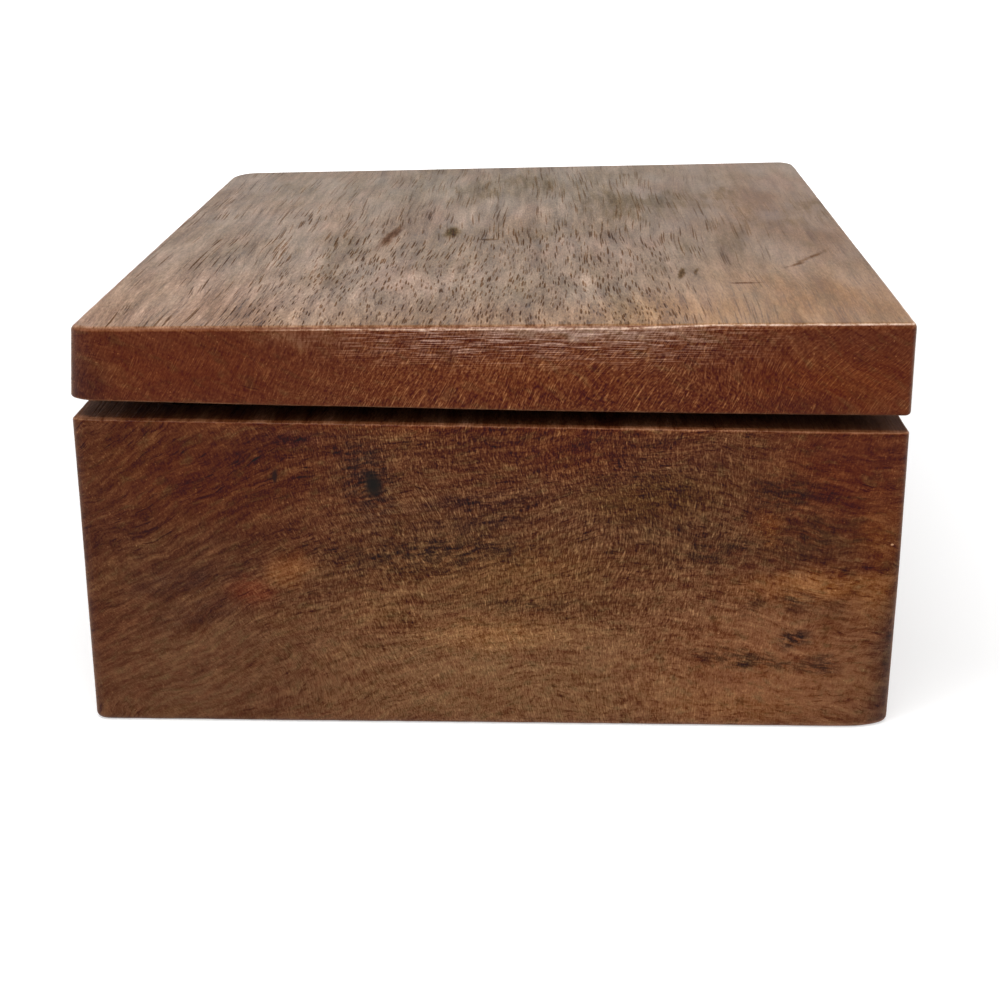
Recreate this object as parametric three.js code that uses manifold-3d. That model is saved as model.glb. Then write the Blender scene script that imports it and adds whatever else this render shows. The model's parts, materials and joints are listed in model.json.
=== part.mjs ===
// A hinged wooden box. The body is hollowed from one block of hardwood and the lid is a thick slab,
// joined at the back by two butt hinges that lie on the rim and hold the lid up on an even gap.
// Units are millimetres. +X is to the right of someone who faces the front, +Y to the back, +Z up.
// The origin is the centre of the base, on the table.
import * as THREE from "three";
import { mergeVertices } from "three/addons/utils/BufferGeometryUtils.js";
import Module from "manifold-3d";

// Box
const boxWidth = 152;
const boxDepth = 178;
const rimHeight = 59.7; // at the middle of the width
const rimFall = 1.66; // the rim is this much lower at the right side than at the left: it was sawn by hand
const wall = 11;
const floorThickness = 9;

// Edges and corners of the body
const footRound = 1.2;
const rimEase = 0.45;
const bodyCorner = 1.8;
const bodyFrontLeftAcross = 3;
const bodyFrontLeftDeep = 2;
const cavityCorner = 6;
const cavityFillet = 3.5;
const wornCornerHeight = 36; // the front right corner is worn from here down to the foot
const wornCornerAcross = 9; // its rounding along the front, at the foot
const wornCornerDeep = 4; // its rounding along the side, at the foot

// Lid
const lidThickness = 15.4; // at the middle
const lidRiseFront = 1.4; // the top rises this much from left to right along the front edge
const lidRiseBack = 3.4; // and this much along the back edge: it was planed by eye
const lidProudLeft = 0.3; // the lid's lower left edge stands out from the body by this much
const lidLeanLeft = 1; // and its left side leans in by this much towards the top
const lidTopRound = 1.1;
const lidUnderEase = 0.5;
const lidFrontLeftAcross = 5.5;
const lidFrontLeftDeep = 3.4;
const lidFrontRightAcross = 1;
const lidFrontRightDeep = 1.8;
const lidBackLeftAcross = 6;
const lidBackLeftDeep = 8;
const lidBackRightAcross = 4;
const lidBackRightDeep = 6;

// Hinges
const leafThickness = 1.2;
const leafLength = 38;
const leafEdgeMargin = 2.2; // from the leaf's free edge to the cavity's wall
const leafCorner = 1;
const hingeInset = 18; // from the body's side to the end of a leaf
const knuckleCount = 5;
const pinRadius = 1;
const pinDome = 0.5;

// Screws
const screwCount = 3; // in each leaf
const screwEndMargin = 6; // from the end of a leaf to the axis of its last screw
const screwLength = 9.5;
const screwShankRadius = 1.05;
const screwHeadRadius = 2.05;
const screwHeadDepth = 0.9;
const screwHeadRim = 0.15;
const screwTipLength = 2.4;
const screwSlotWidth = 0.5;
const screwSlotDepth = 0.45;

// Clearances
const seatGap = 0.3; // between pieces that lie on each other
const fitGap = 0.2; // around a pin or a screw in its hole

// Steps of the round forms
const cornerSteps = 8;
const edgeSteps = 4;
const leafCornerSteps = 4;
const knuckleSteps = 24;
const pinDomeSteps = 4;
const screwSteps = 16;

// Worked out from the sizes above
const seamGap = 2 * leafThickness + 3 * seatGap; // leaf on the rim, leaf on leaf, leaf under the lid
const seamTilt = Math.atan(rimFall / boxWidth);
const knuckleRadius = pinRadius + fitGap + leafThickness; // rolled from the leaf round the pin
const knucklePitch = leafLength / knuckleCount;
const axisY = boxDepth / 2 + seatGap + knuckleRadius;
const rimAt = (x) => rimHeight - x * Math.tan(seamTilt);
const lidUnderAt = (x) => rimAt(x) + seamGap / Math.cos(seamTilt);
const lidRiseAt = (y) => lidRiseFront + (lidRiseBack - lidRiseFront) * (y / boxDepth + 0.5);
const lidTopAt = (x, y) => lidUnderAt(0) + lidThickness + (lidRiseAt(y) * x) / boxWidth;

const wasm = await Module();
wasm.setup();

// Closed mesh to solid, for a boolean cut or join.
function toSolid(geometry) {
  const bare = geometry.clone();
  bare.deleteAttribute("normal");
  bare.deleteAttribute("uv");
  const merged = mergeVertices(bare, 1e-4);
  return new wasm.Manifold(
    new wasm.Mesh({
      numProp: 3,
      vertProperties: merged.attributes.position.array,
      triVerts: Uint32Array.from(merged.index.array),
    }),
  );
}

// Solid back to a geometry for a mesh.
function toGeometry(solid) {
  const mesh = solid.getMesh();
  const geometry = new THREE.BufferGeometry();
  geometry.setAttribute("position", new THREE.BufferAttribute(mesh.vertProperties, 3));
  geometry.setIndex(new THREE.BufferAttribute(mesh.triVerts, 1));
  geometry.computeVertexNormals();
  return geometry;
}

const cutAll = (solid, cutters) => cutters.reduce((left, cutter) => left.subtract(toSolid(cutter)), solid);
const joinAll = (solid, others) => others.reduce((whole, other) => whole.add(toSolid(other)), solid);

// Points of a rectangle with elliptical corners, counter-clockwise from above. The corners are given as
// [across, deep] from the back right one, and heightAt gives each point's height from its x and y.
function ring({ left, right, front, back, corners, heightAt }) {
  const leastRadius = 0.1;
  const sides = [
    [right, back, 1, 1],
    [left, back, -1, 1],
    [left, front, -1, -1],
    [right, front, 1, -1],
  ];
  return sides.flatMap(([x, y, towardsX, towardsY], quarter) => {
    const across = Math.max(corners[quarter][0], leastRadius);
    const deep = Math.max(corners[quarter][1], leastRadius);
    return Array.from({ length: cornerSteps + 1 }, (_, step) => {
      const angle = ((quarter + step / cornerSteps) * Math.PI) / 2;
      const px = x - towardsX * across + across * Math.cos(angle);
      const py = y - towardsY * deep + deep * Math.sin(angle);
      return new THREE.Vector3(px, py, heightAt(px, py));
    });
  });
}

// The same rectangle drawn in by an inset, with its corners' radii drawn in too.
function insetRing(sides, corners, inset, heightAt) {
  return ring({
    left: sides.left + inset,
    right: sides.right - inset,
    front: sides.front + inset,
    back: sides.back - inset,
    corners: corners.map(([across, deep]) => [across - inset, deep - inset]),
    heightAt,
  });
}

// A closed surface through rings of equal count, with the first and the last closed by a fan.
function skin(rings) {
  const count = rings[0].length;
  const points = rings.flat();
  const index = [];
  for (let level = 0; level + 1 < rings.length; level++) {
    for (let i = 0; i < count; i++) {
      const here = level * count + i;
      const next = level * count + ((i + 1) % count);
      index.push(here, next, next + count, here, next + count, here + count);
    }
  }
  const middleOf = (loop) =>
    loop.reduce((sum, point) => sum.add(point), new THREE.Vector3()).divideScalar(loop.length);
  const firstMiddle = points.push(middleOf(rings[0])) - 1;
  const lastMiddle = points.push(middleOf(rings[rings.length - 1])) - 1;
  const lastStart = (rings.length - 1) * count;
  for (let i = 0; i < count; i++) {
    const j = (i + 1) % count;
    index.push(firstMiddle, j, i, lastMiddle, lastStart + i, lastStart + j);
  }
  return new THREE.BufferGeometry().setFromPoints(points).setIndex(index);
}

// Steps round a quarter circle, each as [how far in, how far up] for a rounding of radius 1.
const quarterRound = Array.from({ length: edgeSteps + 1 }, (_, step) => {
  const angle = ((step / edgeSteps) * Math.PI) / 2;
  return [1 - Math.sin(angle), 1 - Math.cos(angle)];
});

const bodySides = { left: -boxWidth / 2, right: boxWidth / 2, front: -boxDepth / 2, back: boxDepth / 2 };

// Corners of the body's outside at a height. The front right one is eased more and more towards the foot.
function bodyCornersAt(height) {
  const wear = Math.max(0, 1 - height / wornCornerHeight) ** 1.5;
  const across = bodyCorner + (wornCornerAcross - bodyCorner) * wear;
  const deep = bodyCorner + (wornCornerDeep - bodyCorner) * wear;
  return [
    [bodyCorner, bodyCorner],
    [bodyCorner, bodyCorner],
    [bodyFrontLeftAcross, bodyFrontLeftDeep],
    [across, deep],
  ];
}

// Outside of the block from the foot up, over the rim, and down into the cavity to its floor.
function bodyGeometry() {
  const plainCorners = bodyCornersAt(wornCornerHeight);
  const foot = quarterRound.map(([inwards, upwards]) =>
    insetRing(bodySides, bodyCornersAt(0), footRound * inwards, () => footRound * upwards),
  );
  const wearSteps = 6;
  const worn = Array.from({ length: wearSteps }, (_, step) => {
    const height = footRound + ((wornCornerHeight - footRound) * (step + 1)) / wearSteps;
    return insetRing(bodySides, bodyCornersAt(height), 0, () => height);
  });
  const outerRim = [...quarterRound]
    .reverse()
    .map(([inwards, upwards]) =>
      insetRing(bodySides, plainCorners, rimEase * inwards, (x) => rimAt(x) - rimEase * upwards),
    );
  const cavitySides = {
    left: bodySides.left + wall,
    right: bodySides.right - wall,
    front: bodySides.front + wall,
    back: bodySides.back - wall,
  };
  const cavityCorners = Array(4).fill([cavityCorner, cavityCorner]);
  const innerRim = quarterRound.map(([inwards, upwards]) =>
    insetRing(cavitySides, cavityCorners, -rimEase * inwards, (x) => rimAt(x) - rimEase * upwards),
  );
  const floorEdge = [...quarterRound]
    .reverse()
    .map(([inwards, upwards]) =>
      insetRing(
        cavitySides,
        cavityCorners,
        cavityFillet * inwards,
        () => floorThickness + cavityFillet * upwards,
      ),
    );
  return skin([...foot, ...worn, ...outerRim, ...innerRim, ...floorEdge]);
}

// The slab, from its underside on the slanting cut up to its top.
function lidGeometry() {
  const underSides = { ...bodySides, left: bodySides.left - lidProudLeft };
  const topSides = { ...underSides, left: underSides.left + lidLeanLeft };
  const lidCorners = [
    [lidBackRightAcross, lidBackRightDeep],
    [lidBackLeftAcross, lidBackLeftDeep],
    [lidFrontLeftAcross, lidFrontLeftDeep],
    [lidFrontRightAcross, lidFrontRightDeep],
  ];
  const underEdge = quarterRound.map(([inwards, upwards]) =>
    insetRing(underSides, lidCorners, lidUnderEase * inwards, (x) => lidUnderAt(x) + lidUnderEase * upwards),
  );
  const topEdge = [...quarterRound]
    .reverse()
    .map(([inwards, upwards]) =>
      insetRing(topSides, lidCorners, lidTopRound * inwards, (x, y) => lidTopAt(x, y) - lidTopRound * upwards),
    );
  return skin([...underEdge, ...topEdge]);
}

// Screw places along a leaf, from its middle.
const screwPlaces = Array.from(
  { length: screwCount },
  (_, i) => (leafLength - 2 * screwEndMargin) * (i / (screwCount - 1) - 0.5),
);

// The flat of a leaf lies between the wood's back face and its own free edge. Places are from the hinge axis.
const leafBack = axisY - boxDepth / 2;
const leafReach = leafBack + wall - leafEdgeMargin;
const screwRow = -(leafBack + leafReach) / 2;
const leafTop = -seatGap / 2;
const leafBottom = leafTop - leafThickness;

// A revolved form about +Z, from [radius, height] points that start and end on the axis.
function revolved(profile, steps) {
  const points = profile.map(([radius, height]) => new THREE.Vector2(radius, height));
  return new THREE.LatheGeometry(points, steps).rotateX(Math.PI / 2);
}

// Countersunk wood screw, pointing down, with the top of its head at the origin and a straight slot.
function screwGeometry() {
  const headBottom = -screwHeadRim - screwHeadDepth;
  const blank = revolved(
    [
      [0, -screwLength],
      [screwShankRadius, -screwLength + screwTipLength],
      [screwShankRadius, headBottom],
      [screwHeadRadius, -screwHeadRim],
      [screwHeadRadius, 0],
      [0, 0],
    ],
    screwSteps,
  );
  const slot = new THREE.BoxGeometry(3 * screwHeadRadius, screwSlotWidth, 2 * screwSlotDepth);
  return toGeometry(toSolid(blank).subtract(toSolid(slot)));
}

// What a screw's hole takes out of a leaf, with the leaf's upper face at height 0.
function countersink() {
  const over = 1;
  const shank = screwShankRadius + fitGap;
  const head = screwHeadRadius + fitGap;
  return revolved(
    [
      [0, -leafThickness - over],
      [shank, -leafThickness - over],
      [shank, -screwHeadRim - screwHeadDepth],
      [head, -screwHeadRim],
      [head, over],
      [0, over],
    ],
    screwSteps,
  );
}

// What a screw's pilot hole takes out of the wood, with the wood's face at height 0.
function pilotHole() {
  const over = 1;
  const depth = screwLength - leafThickness - seatGap + fitGap;
  const height = depth + over;
  const radius = screwShankRadius + fitGap;
  return new THREE.CylinderGeometry(radius, radius, height, screwSteps)
    .rotateX(Math.PI / 2)
    .translate(0, 0, over - height / 2);
}

// The flat plate of a lower leaf, with the hinge axis along X through the origin.
function leafPlate() {
  const half = leafLength / 2;
  const flat = new THREE.Shape();
  flat.moveTo(half, -leafBack);
  flat.lineTo(-half, -leafBack);
  flat.lineTo(-half, -leafReach + leafCorner);
  flat.absarc(-half + leafCorner, -leafReach + leafCorner, leafCorner, Math.PI, 1.5 * Math.PI);
  flat.lineTo(half - leafCorner, -leafReach);
  flat.absarc(half - leafCorner, -leafReach + leafCorner, leafCorner, 1.5 * Math.PI, 2 * Math.PI);
  const plate = new THREE.ExtrudeGeometry(flat, {
    depth: leafThickness,
    bevelEnabled: false,
    curveSegments: leafCornerSteps,
  });
  return plate.translate(0, 0, leafBottom);
}

// One knuckle of a lower leaf between two places along the hinge: a ring round the pin that runs out into an
// arm, which joins the plate.
function knuckle(start, end) {
  const armEnd = -leafBack - leafThickness;
  const roll = new THREE.Shape();
  roll.moveTo(armEnd, leafBottom);
  roll.absarc(
    0,
    0,
    knuckleRadius,
    Math.PI - Math.asin(leafBottom / knuckleRadius),
    3 * Math.PI - Math.asin(leafTop / knuckleRadius),
    false,
  );
  roll.lineTo(armEnd, leafTop);
  const bore = new THREE.Path();
  bore.absarc(0, 0, pinRadius + fitGap, 0, 2 * Math.PI, true);
  roll.holes.push(bore);
  const alongX = new THREE.Matrix4().makeBasis(
    new THREE.Vector3(0, 1, 0),
    new THREE.Vector3(0, 0, 1),
    new THREE.Vector3(1, 0, 0),
  );
  const ring = new THREE.ExtrudeGeometry(roll, {
    depth: end - start,
    bevelEnabled: false,
    curveSegments: knuckleSteps / 2,
  });
  return ring.applyMatrix4(alongX).translate(start, 0, 0);
}

// A leaf of a closed hinge. The lower one has the first, third and fifth knuckle. The upper one is its mirror,
// with the knuckles between.
function leafGeometry(isUpper) {
  const half = leafLength / 2;
  const knuckles = [];
  for (let i = isUpper ? 1 : 0; i < knuckleCount; i += 2) {
    const start = -half + i * knucklePitch + (i === 0 ? 0 : seatGap / 2);
    const end = -half + (i + 1) * knucklePitch - (i === knuckleCount - 1 ? 0 : seatGap / 2);
    knuckles.push(knuckle(start, end));
  }
  const holes = screwPlaces.map((x) => countersink().translate(x, screwRow, leafTop));
  const lower = cutAll(joinAll(toSolid(leafPlate()), knuckles), holes);
  return toGeometry(isUpper ? lower.scale([1, 1, -1]) : lower);
}

// Hinge pin along X, with slightly domed ends.
function pinGeometry() {
  const half = leafLength / 2;
  const dome = Array.from({ length: pinDomeSteps + 1 }, (_, step) => {
    const angle = ((step / pinDomeSteps) * Math.PI) / 2;
    return [pinRadius * Math.sin(angle), pinDome * Math.cos(angle)];
  });
  const profile = [
    ...dome.map(([radius, out]) => [radius, -half - out]),
    ...[...dome].reverse().map(([radius, out]) => [radius, half + out]),
  ];
  return revolved(profile, knuckleSteps).rotateY(Math.PI / 2);
}

// Materials
const oiledWood = new THREE.MeshStandardMaterial({ color: 0x6b3f26, roughness: 0.45, metalness: 0 });
const lidWood = new THREE.MeshStandardMaterial({ color: 0x7a4c31, roughness: 0.42, metalness: 0 });
const brass = new THREE.MeshStandardMaterial({ color: 0xb08a45, roughness: 0.35, metalness: 1 });
const screwBrass = new THREE.MeshStandardMaterial({ color: 0xc29a52, roughness: 0.3, metalness: 1 });

function named(name, geometry, material) {
  const mesh = new THREE.Mesh(geometry, material);
  mesh.name = name;
  return mesh;
}

// The slanting plane of the rim. What lies on the rim is placed in this frame, with the rim at height 0.
const seam = new THREE.Group();
seam.position.set(0, 0, rimHeight);
seam.rotation.y = seamTilt;
seam.updateMatrix();

const hingeSides = [
  { side: "left", x: -(boxWidth / 2 - hingeInset - leafLength / 2) },
  { side: "right", x: boxWidth / 2 - hingeInset - leafLength / 2 },
];
const screwY = axisY + screwRow;
const rimHoles = [];
const lidHoles = [];
for (const { x } of hingeSides) {
  for (const place of screwPlaces) {
    const below = pilotHole().translate(x + place, screwY, 0);
    const above = pilotHole().rotateX(Math.PI).translate(x + place, screwY, seamGap);
    rimHoles.push(below.applyMatrix4(seam.matrix));
    lidHoles.push(above.applyMatrix4(seam.matrix));
  }
}

const box = new THREE.Group();
box.add(named("body", toGeometry(cutAll(toSolid(bodyGeometry()), rimHoles)), oiledWood));
box.add(named("lid", toGeometry(cutAll(toSolid(lidGeometry()), lidHoles)), lidWood));

const lowerLeaf = leafGeometry(false);
const upperLeaf = leafGeometry(true);
const pin = pinGeometry();
const screw = screwGeometry();
for (const { side, x } of hingeSides) {
  const hinge = new THREE.Group();
  hinge.position.set(x, axisY, seamGap / 2);
  hinge.add(named(`hinge_${side}_lower_leaf`, lowerLeaf, brass));
  hinge.add(named(`hinge_${side}_upper_leaf`, upperLeaf, brass));
  hinge.add(named(`hinge_${side}_pin`, pin, screwBrass));
  screwPlaces.forEach((place, i) => {
    const lower = named(`hinge_${side}_lower_screw_${i + 1}`, screw, screwBrass);
    lower.position.set(place, screwRow, -seatGap / 2);
    const upper = named(`hinge_${side}_upper_screw_${i + 1}`, screw, screwBrass);
    upper.position.set(place, screwRow, seatGap / 2);
    upper.rotation.x = Math.PI;
    hinge.add(lower, upper);
  });
  seam.add(hinge);
}
box.add(seam);

export default box;
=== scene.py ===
"""A hinged box of oiled hardwood: its fine shapes and its finishes, made round the box's measured frame.

The body is hollowed from one block and the lid is a slab of the same tree, both with the grain running
from front to back. Two brass hinges join them. Sizes are in millimetres in the code and in metres in the
meshes.
"""

import json
import math
from typing import NamedTuple

import bmesh
import bpy
from bpy.props import FloatProperty, FloatVectorProperty, IntProperty, PointerProperty
from mathutils import Matrix, Vector, noise

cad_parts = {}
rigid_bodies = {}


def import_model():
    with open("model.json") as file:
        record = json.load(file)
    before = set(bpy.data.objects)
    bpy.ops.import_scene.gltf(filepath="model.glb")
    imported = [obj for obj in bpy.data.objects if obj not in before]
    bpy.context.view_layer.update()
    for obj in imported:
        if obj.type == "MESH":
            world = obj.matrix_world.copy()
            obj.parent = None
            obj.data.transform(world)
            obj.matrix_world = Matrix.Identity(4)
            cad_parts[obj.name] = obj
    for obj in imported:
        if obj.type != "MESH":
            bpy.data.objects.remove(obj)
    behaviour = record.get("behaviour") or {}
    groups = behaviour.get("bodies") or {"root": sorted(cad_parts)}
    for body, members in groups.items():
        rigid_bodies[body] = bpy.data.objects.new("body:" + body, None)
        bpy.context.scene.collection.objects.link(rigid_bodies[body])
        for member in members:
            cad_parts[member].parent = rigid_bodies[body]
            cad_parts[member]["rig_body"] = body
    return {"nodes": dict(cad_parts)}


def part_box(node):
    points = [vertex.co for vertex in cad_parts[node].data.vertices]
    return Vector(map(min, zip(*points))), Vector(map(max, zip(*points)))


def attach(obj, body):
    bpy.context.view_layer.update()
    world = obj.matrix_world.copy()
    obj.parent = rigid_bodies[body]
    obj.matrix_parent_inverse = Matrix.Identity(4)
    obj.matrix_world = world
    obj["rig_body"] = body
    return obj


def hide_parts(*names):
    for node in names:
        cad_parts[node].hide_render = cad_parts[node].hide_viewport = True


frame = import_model()

bl_info = {
    "name": "Hinged wooden box",
    "version": (1, 0, 0),
    "blender": (4, 5, 0),
    "location": "View3D > Sidebar > Wooden Box",
    "description": "Models and finishes a hinged box of oiled hardwood",
    "category": "Add Mesh",
}

MM = 0.001

BODY = "box"
LID = "lid_body"
BODY_LOW, BODY_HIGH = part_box("body")
LID_LOW, LID_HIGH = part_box("lid")
HINGES = ("hinge_left", "hinge_right")
LEAVES = ("lower", "upper")
SCREWS_PER_LEAF = 3


def length(name, description, millimetres, least=0.0):
    """A size that a user may change, given in millimetres and kept in metres."""
    return FloatProperty(
        name=name,
        description=description,
        default=millimetres * MM,
        min=least * MM,
        subtype="DISTANCE",
        unit="LENGTH",
        precision=5,
    )


def colour(name, description, value):
    """A colour that a user may change, as red, green and blue of plain light."""
    return FloatVectorProperty(
        name=name, description=description, default=value, min=0.0, max=1.0, size=3, subtype="COLOR"
    )


def share(name, description, value, most=1.0):
    """A share of something, from nothing to the most."""
    return FloatProperty(
        name=name,
        description=description,
        default=value,
        min=0.0,
        max=most,
        subtype="FACTOR",
    )


def degrees(name, description, value):
    """An angle that a user may change, given in degrees and kept in radians."""
    return FloatProperty(name=name, description=description, default=math.radians(value), subtype="ANGLE")


class BoxSizes(bpy.types.PropertyGroup):
    """Sizes of the hollowed body."""

    rim_fall: length("Rim fall", "How much lower the hand-sawn rim is at the right than at the left", 1.66)
    wall: length("Wall", "Thickness of the four walls", 11, 2)
    floor: length("Floor", "Thickness of the floor", 9, 2)
    corner: length("Corner", "Rounding of the upright corners", 1.8)
    front_left_across: length("Front left corner across", "Its rounding along the front", 3)
    front_left_deep: length("Front left corner deep", "Its rounding along the side", 2)
    worn_height: length("Worn height", "How far up the front right corner is worn", 36, 1)
    worn_across: length("Worn across", "Rounding of the worn corner along the front, at the foot", 9)
    worn_deep: length("Worn deep", "Rounding of the worn corner along the side, at the foot", 4)
    foot_round: length("Foot rounding", "Rounding round the base", 1.2)
    rim_ease: length("Rim easing", "Rounding of the rim's edges", 0.45)
    cavity_corner: length("Cavity corner", "Rounding of the cavity's upright corners", 6)
    cavity_fillet: length("Cavity fillet", "Rounding between the cavity's walls and its floor", 3.5)
    cell: length("Cell", "Width of a cell of the fine mesh", 2, 0.5)


class LidSizes(bpy.types.PropertyGroup):
    """Sizes of the lid."""

    seam_gap: length("Seam gap", "The gap between body and lid that the hinge leaves keep open", 3.3)
    thickness: length("Thickness", "Thickness at the middle", 15.4, 2)
    rise_front: length("Rise in front", "How much the top rises from left to right along the front", 1.4)
    rise_back: length("Rise at the back", "How much the top rises from left to right along the back", 3.4)
    lean_left: length("Left lean", "How far the left side leans in towards the top", 1)
    top_round: length("Top rounding", "Rounding of the top's edges", 1)
    under_ease: length("Under easing", "Rounding of the underside's edges", 0.5)
    front_left_across: length("Front left corner across", "Its rounding along the front", 5.5)
    front_left_deep: length("Front left corner deep", "Its rounding along the side", 3.4)
    front_right_across: length("Front right corner across", "Its rounding along the front", 1.3)
    front_right_deep: length("Front right corner deep", "Its rounding along the side", 1.8)
    back_left_across: length("Back left corner across", "Its rounding along the back", 6)
    back_left_deep: length("Back left corner deep", "Its rounding along the side", 8)
    back_right_across: length("Back right corner across", "Its rounding along the back", 4)
    back_right_deep: length("Back right corner deep", "Its rounding along the side", 6)
    cell: length("Cell", "Width of a cell of the fine mesh", 2, 0.5)


class WoodFinish(bpy.types.PropertyGroup):
    """Colours and gloss of the oiled wood."""

    body_end: colour("End of the body", "The end grain of the body", (0.120, 0.046, 0.018))
    lid_end: colour("End of the lid", "The end grain of the lid", (0.118, 0.027, 0.007))
    brown: colour("Brown", "The long grain", (0.140, 0.054, 0.020))
    red: colour("Red", "The redder patches", (0.090, 0.020, 0.006))
    tan: colour("Tan", "The lighter patches", (0.190, 0.085, 0.030))
    olive: colour("Olive", "The greener patches", (0.090, 0.054, 0.018))
    pink: colour("Pink", "The pinker patches of the long grain", (0.235, 0.115, 0.075))
    pore: colour("Pore", "The open pores of the long grain", (0.060, 0.020, 0.004))
    # Rubbed: edges where the finish is worn, lightened further as a painted highlight of the light their
    # rounding catches
    rubbed: colour("Rubbed", "Edges where the finish is rubbed thin", (0.300, 0.130, 0.065))
    # Worn: a painted highlight, the pale line along the lid's front edge that stands in for the light its
    # rounding catches
    worn: colour("Worn", "The pale line along the lid's front edge", (0.640, 0.450, 0.350))
    # Top: the wood's colour lightened and greyed as painted sheen, standing in for the gloss the lid's top
    # shows at low angles
    top: colour("Top", "The long grain of the lid, which has seen more light", (0.200, 0.122, 0.072))
    # Rim: painted shade, the darker colour of the faces beside the gap stands in for the shade between body
    # and lid
    rim: colour("Rim", "The sawn faces beside the gap", (0.094, 0.027, 0.008))
    # Scratch: the pale colour is a painted glint of the light that the sanding scratches catch
    scratch: colour("Scratch", "Fine sanding scratches", (0.600, 0.400, 0.330))
    roughness: share("Roughness", "Roughness of the oiled surface", 0.40)
    haze: share("Haze", "The dusty sheen of the surface at low angles", 0.10)
    refraction: FloatProperty(
        name="Refraction",
        description="Index of refraction of the oil finish",
        default=1.22,
        min=1.0,
        max=2.0,
    )


class BrassFinish(bpy.types.PropertyGroup):
    """Colours and gloss of the hinges and screws."""

    bright: colour("Bright", "Rubbed brass", (0.66, 0.46, 0.19))
    tarnish: colour("Tarnish", "Dulled brass", (0.30, 0.18, 0.07))
    roughness: share("Roughness", "Roughness of the rubbed metal", 0.34)


class Studio(bpy.types.PropertyGroup):
    """The camera and the light of the studio."""

    lens: FloatProperty(
        name="Lens",
        description="Focal length of the camera",
        default=63.76,
        min=10,
        unit="CAMERA",
    )
    turn: degrees("Turn", "Turn of the camera about the upright", -1.759)
    tilt: degrees("Tilt", "Downward tilt of the camera", 18.432)
    roll: degrees("Roll", "Roll of the camera about its own axis", 0.172)
    place: FloatVectorProperty(
        name="Place",
        description="Where the camera stands",
        default=(0.011516, -0.39433, 0.154632),
        subtype="TRANSLATION",
        unit="LENGTH",
        precision=5,
    )
    shift: FloatProperty(
        name="Shift",
        description="Upward shift of the picture in the frame",
        default=-0.0375,
        min=-1,
        max=1,
    )
    sky: share("Sky", "Strength of the white room's light on the box", 0.42, 4.0)
    dark_side: share("Dark side", "How bright the room behind the camera is in reflections", 0.2)
    floor: colour("Floor", "Colour of the table", (0.60, 0.60, 0.60))
    lamps: IntProperty(
        name="Lamps",
        description="How many of the studio's soft lamps are lit",
        default=3,
        min=0,
        max=3,
    )


SETTINGS = {
    "wooden_box_body": BoxSizes,
    "wooden_box_lid": LidSizes,
    "wooden_box_wood": WoodFinish,
    "wooden_box_brass": BrassFinish,
    "wooden_box_studio": Studio,
}


# Shaping

# Distances in metres that count as none, in comparisons, in cutting and in merging
HAIR = 1e-5
NEAR = 1e-6
CUT_SNAP = 1e-7
WELD = 2e-6

# Angles between neighbouring faces of the hinges: flat below the first, a sharp edge above the second
FLAT_ANGLE = math.radians(1)
SHARP_ANGLE = math.radians(32)

# Below this much of its normal upwards, a face is a wall
WALL_NORMAL = 0.5

# Waves of a hand-planed face and wear along its edges: wave lengths in millimetres, the axis that the
# seed shifts, and the share of the ripple's depth
BROAD_WAVES = ((34, 41, 30), 0, 0.8)
FINE_WAVES = ((11, 14, 9), 1, 0.25)
ARRIS_WEAR = ((5, 5, 5), 2, 0.9)


def slab(low, high):
    """A slab between two corners, ready to note its arrises."""
    mesh = bmesh.new()
    mesh.faces.layers.int.new("rounded")
    mesh.verts.layers.float.new("arris")
    bmesh.ops.create_cube(mesh, size=1)
    bmesh.ops.scale(mesh, vec=high - low, verts=mesh.verts)
    bmesh.ops.translate(mesh, vec=(low + high) / 2, verts=mesh.verts)
    return mesh


def edges_where(mesh, test):
    """The edges whose two ends both pass a test."""
    return [edge for edge in mesh.edges if all(test(end.co) for end in edge.verts)]


def beside_a_wall(edges):
    """Those of the edges that have an upright face beside them."""
    return [edge for edge in edges if any(abs(face.normal.z) < WALL_NORMAL for face in edge.link_faces)]


def round_edges(mesh, edges, radius, segments, clamp=False):
    """Rounds edges and returns what the rounding is made of."""
    return bmesh.ops.bevel(
        mesh,
        geom=edges,
        offset=radius,
        offset_type="OFFSET",
        affect="EDGES",
        segments=segments,
        profile=0.5,
        material=-1,
        clamp_overlap=clamp,
    )


def round_corner(mesh, x, y, across, deep, segments=8):
    """Rounds the upright edge at (x, y) to an ellipse, with its own reach along the front and the side."""
    upright = edges_where(mesh, lambda co: abs(co.x - x) < NEAR and abs(co.y - y) < NEAR)
    for vertex in round_edges(mesh, upright, across, segments)["verts"]:
        vertex.co.y = y + (vertex.co.y - y) * deep / across


def cut_grid(mesh, axis, low, high, cell):
    """Cuts the whole mesh into slices of about one cell along an axis, from one corner to the other."""
    start, end = low[axis], high[axis]
    count = max(2, round((end - start) / cell))
    normal = Vector([1.0 if i == axis else 0.0 for i in range(3)])
    for i in range(1, count):
        everything = [*mesh.verts, *mesh.edges, *mesh.faces]
        place = normal * (start + (end - start) * i / count)
        bmesh.ops.bisect_plane(mesh, geom=everything, dist=CUT_SNAP, plane_co=place, plane_no=normal)


def round_arris(mesh, edges, radius, segments):
    """Rounds edges whose finish is rubbed thin and which get a painted highlight, and remembers the faces of
    the rounding.
    """
    layer = mesh.faces.layers.int["rounded"]
    for face in round_edges(mesh, edges, radius, segments)["faces"]:
        face[layer] = 1


def note_arrises(mesh):
    """Turns the faces outwards, and notes the vertices that lie within an arris's rounding."""
    bmesh.ops.recalc_face_normals(mesh, faces=mesh.faces)
    rounded = mesh.faces.layers.int["rounded"]
    layer = mesh.verts.layers.float["arris"]
    for vertex in mesh.verts:
        vertex[layer] = float(all(face[rounded] for face in vertex.link_faces))


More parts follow.
